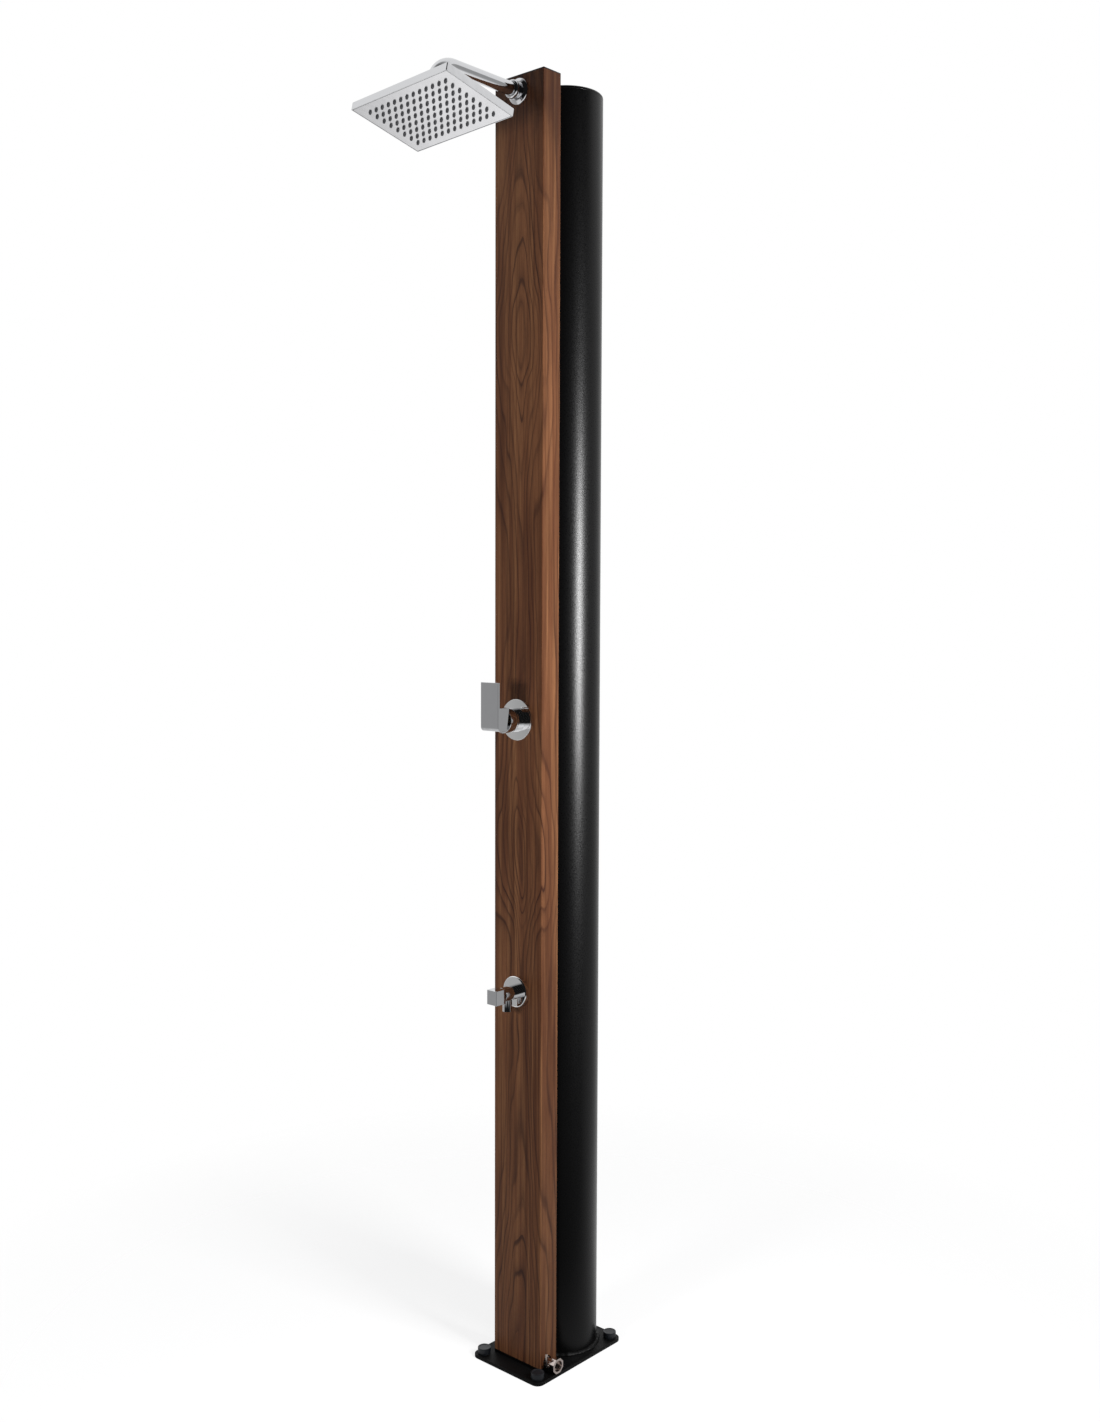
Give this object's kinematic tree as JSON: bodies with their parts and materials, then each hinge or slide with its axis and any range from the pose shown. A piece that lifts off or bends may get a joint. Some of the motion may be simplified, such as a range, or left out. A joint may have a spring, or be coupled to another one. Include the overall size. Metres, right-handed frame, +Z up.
{
  "type": "outdoor shower post",
  "caption": "Tall rectangular column with a tiltable rain head, a lever mixer and a low tap, beside a round water tank on a shared base plate.",
  "frame": {"origin": "centre of the four anchor holes, on the underside of the base plate", "axes": "+Z up, +X to the right seen from the front, the column's front face looks along -Y"},
  "size_m": [0.2242, 0.4632, 2.2],
  "materials": {
    "black_coat": "satin",
    "black_plastic": "satin",
    "wood_film": "satin",
    "black_rubber": "matte",
    "steel": "satin",
    "polished_steel": "gloss",
    "grey_plastic": "matte",
    "white_pipe": "satin",
    "white_plastic": "satin",
    "brass": "satin",
    "ceramic_disc": "gloss",
    "chrome": "polished",
    "grey_silicone": "matte",
    "nickel": "polished"
  },
  "bodies": {
    "post": {"arm_collar": "chrome", "arm_flange": "chrome", "base_plate": "black_coat", "bolt_caps": "black_plastic", "cartridge_housing": "grey_plastic", "cartridge_nut": "brass", "clamp_nuts": "brass", "cold_pipes": "white_pipe", "column_foot": "black_coat", "column_profile": "wood_film", "column_top_cap": "black_plastic", "crossing_nipples": "brass", "crossing_nuts": "brass", "crossing_seals": "black_rubber", "fixed_disc": "ceramic_disc", "frame_screws": "steel", "hot_downpipe": "white_pipe", "hot_pickup": "white_pipe", "mixed_riser": "white_pipe", "mixer_body": "brass", "mixer_elbows": "grey_plastic", "mixer_rosette": "chrome", "mixer_sleeve": "chrome", "pipe_elbows": "grey_plastic", "pipe_tees": "grey_plastic", "shower_arm": "chrome", "swivel_ball": "chrome", "tank_brackets": "black_coat", "tank_cap_seal": "black_rubber", "tank_floor": "black_coat", "tank_top_cap": "black_coat", "tank_tube": "black_coat", "tap_aerator": "grey_plastic", "tap_body": "chrome", "tap_headwork": "brass", "tap_rosette": "chrome", "valve_body": "nickel", "valve_seats": "white_plastic", "valve_union": "nickel", "wall_elbow": "brass"},
    "mixer_guide": {"cartridge_guide": "grey_plastic", "guide_pin": "steel"},
    "mixer_lever": {"lever_stem": "brass", "mixer_lever": "chrome", "lever_screw": "steel"},
    "mixer_disc": {"sliding_disc": "ceramic_disc"},
    "tap_key": {"tap_spindle": "brass", "tap_handle": "chrome", "tap_screw": "steel"},
    "valve_key": {"valve_ball": "chrome", "valve_stem": "nickel", "valve_lever": "nickel", "valve_lever_nut": "nickel"},
    "swivel_ring": {"ball_ring": "white_plastic"},
    "swivel_seal": {"ball_gasket": "black_rubber"},
    "shower_head": {"swivel_nut": "chrome", "head_cover": "chrome", "head_face_plate": "polished_steel", "nozzle_mat": "grey_silicone"}
  },
  "joints": [
    {"name": "mixer_turn", "type": "hinge", "parent": "post", "child": "mixer_guide", "pos_m": [0, -0.105, 1.134], "axis": [0, 1, 0], "range_deg": [-45, 45]},
    {"name": "mixer_lift", "type": "hinge", "parent": "mixer_guide", "child": "mixer_lever", "pos_m": [0, -0.105, 1.134], "axis": [1, 0, 0], "range_deg": [0, 25]},
    {"name": "disc_shift", "type": "slide", "parent": "mixer_guide", "child": "mixer_disc", "axis": [0, 0, 1], "range_m": [0, 0.0036]},
    {"name": "tap_turn", "type": "hinge", "parent": "post", "child": "tap_key", "pos_m": [0, -0.13, 0.666], "axis": [0, 1, 0], "range_deg": [0, 90]},
    {"name": "valve_turn", "type": "hinge", "parent": "post", "child": "valve_key", "pos_m": [0.066, -0.072, 0.0195], "axis": [0, 1, 0], "range_deg": [0, 90]},
    {"name": "head_turn", "type": "hinge", "parent": "post", "child": "swivel_ring", "pos_m": [0, -0.275, 2.106], "axis": [0, 0, 1], "continuous": true},
    {"name": "head_tilt", "type": "hinge", "parent": "swivel_ring", "child": "swivel_seal", "pos_m": [0, -0.275, 2.106], "axis": [0.9995, -0.0309, 0], "range_deg": [-4, 31]},
    {"name": "head_roll", "type": "hinge", "parent": "swivel_seal", "child": "shower_head", "pos_m": [0, -0.275, 2.106], "axis": [0.03, 0.971, -0.2372], "range_deg": [-10, 14]}
  ],
  "couplings": [
    {"joint": "disc_shift", "follows": "mixer_lift", "m_per_rad": 0.00775}
  ]
}
